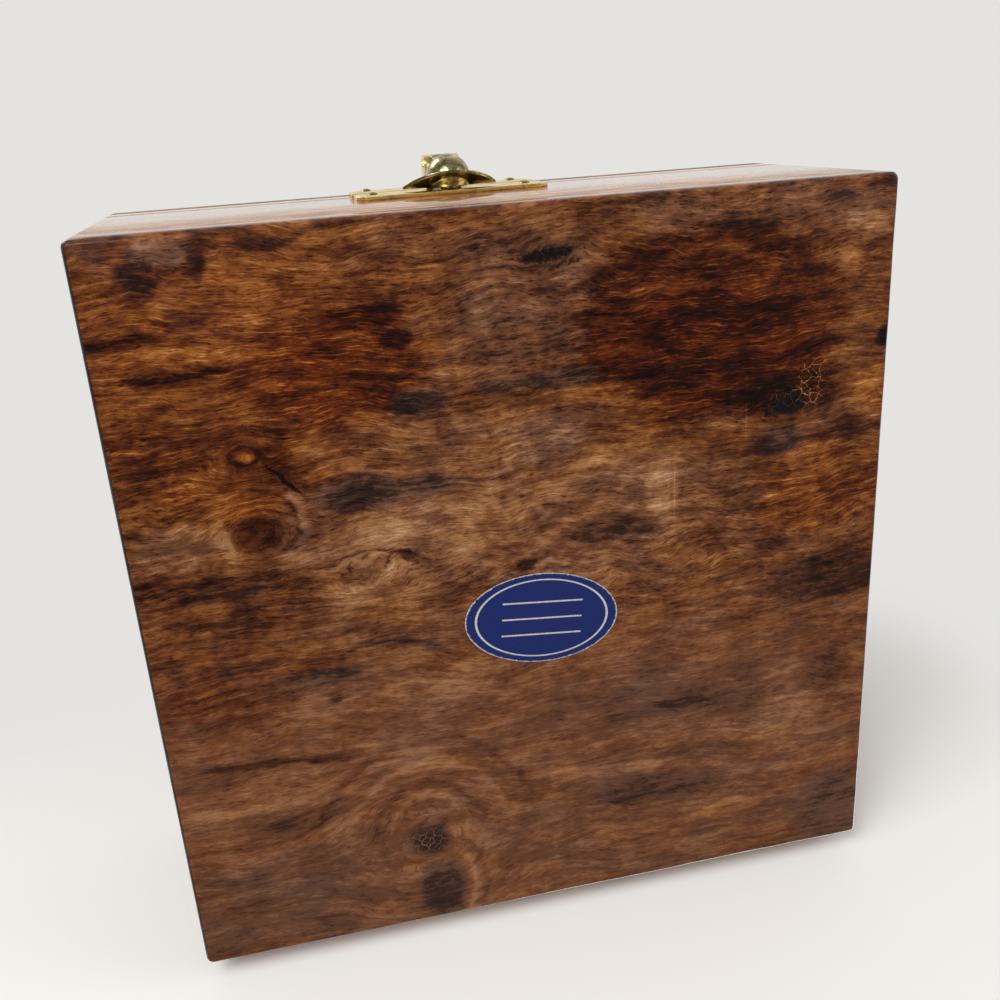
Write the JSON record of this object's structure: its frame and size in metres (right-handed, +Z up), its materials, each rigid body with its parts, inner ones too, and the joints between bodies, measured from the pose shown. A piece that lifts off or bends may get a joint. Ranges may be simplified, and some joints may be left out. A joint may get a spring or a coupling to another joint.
{
  "type": "hinged wooden keepsake box",
  "caption": "Square lacquered hardwood keepsake box with a framed lid on butt hinges and a domed brass snap latch on the front.",
  "frame": {"origin": "centre of the underside, on the surface that the box stands on", "axes": "+Z up through the lid, the front with the latch faces -Y, +X is to the right when the box is seen from above with its front nearest"},
  "size_m": [0.127, 0.1371, 0.051],
  "materials": {
    "hardwood": "figured rosewood, glossy lacquer",
    "velvet": "wine red velvet over card",
    "label_paper": "printed blue paper",
    "latch_brass": "polished, lacquered",
    "hinge_brass": "rolled, dulled"
  },
  "bodies": {
    "body": {"floor_board": "hardwood", "front_wall": "hardwood", "back_wall": "hardwood", "left_wall": "hardwood", "right_wall": "hardwood", "floor_lining": "velvet", "front_lining": "velvet", "back_lining": "velvet", "left_lining": "velvet", "right_lining": "velvet", "underside_label": "label_paper", "latch_body_plate": "latch_brass", "latch_catch_stud": "latch_brass", "latch_body_nails": "latch_brass", "left_hinge_body_leaf": "hinge_brass", "right_hinge_body_leaf": "hinge_brass", "left_hinge_body_screws": "hinge_brass", "right_hinge_body_screws": "hinge_brass", "left_hinge_pin": "hinge_brass", "right_hinge_pin": "hinge_brass"},
    "lid": {"lid_board": "hardwood", "lid_front_rail": "hardwood", "lid_back_rail": "hardwood", "lid_left_rail": "hardwood", "lid_right_rail": "hardwood", "lid_lining": "velvet", "latch_lid_plate": "latch_brass", "latch_lid_nails": "latch_brass", "latch_hinge_pin": "latch_brass", "left_hinge_lid_leaf": "hinge_brass", "right_hinge_lid_leaf": "hinge_brass", "left_hinge_lid_screws": "hinge_brass", "right_hinge_lid_screws": "hinge_brass"},
    "tongue": {"latch_tongue": "latch_brass"}
  },
  "joints": [
    {"name": "lid_hinge", "type": "hinge", "parent": "body", "child": "lid", "pos_m": [0, 0.0655, 0.04], "axis": [-1, 0, 0], "range_deg": [0, 180]},
    {"name": "latch_hinge", "type": "hinge", "parent": "lid", "child": "tongue", "pos_m": [-0.003, -0.0679, 0.0443], "axis": [-1, 0, 0], "range_deg": [0, 170]}
  ]
}
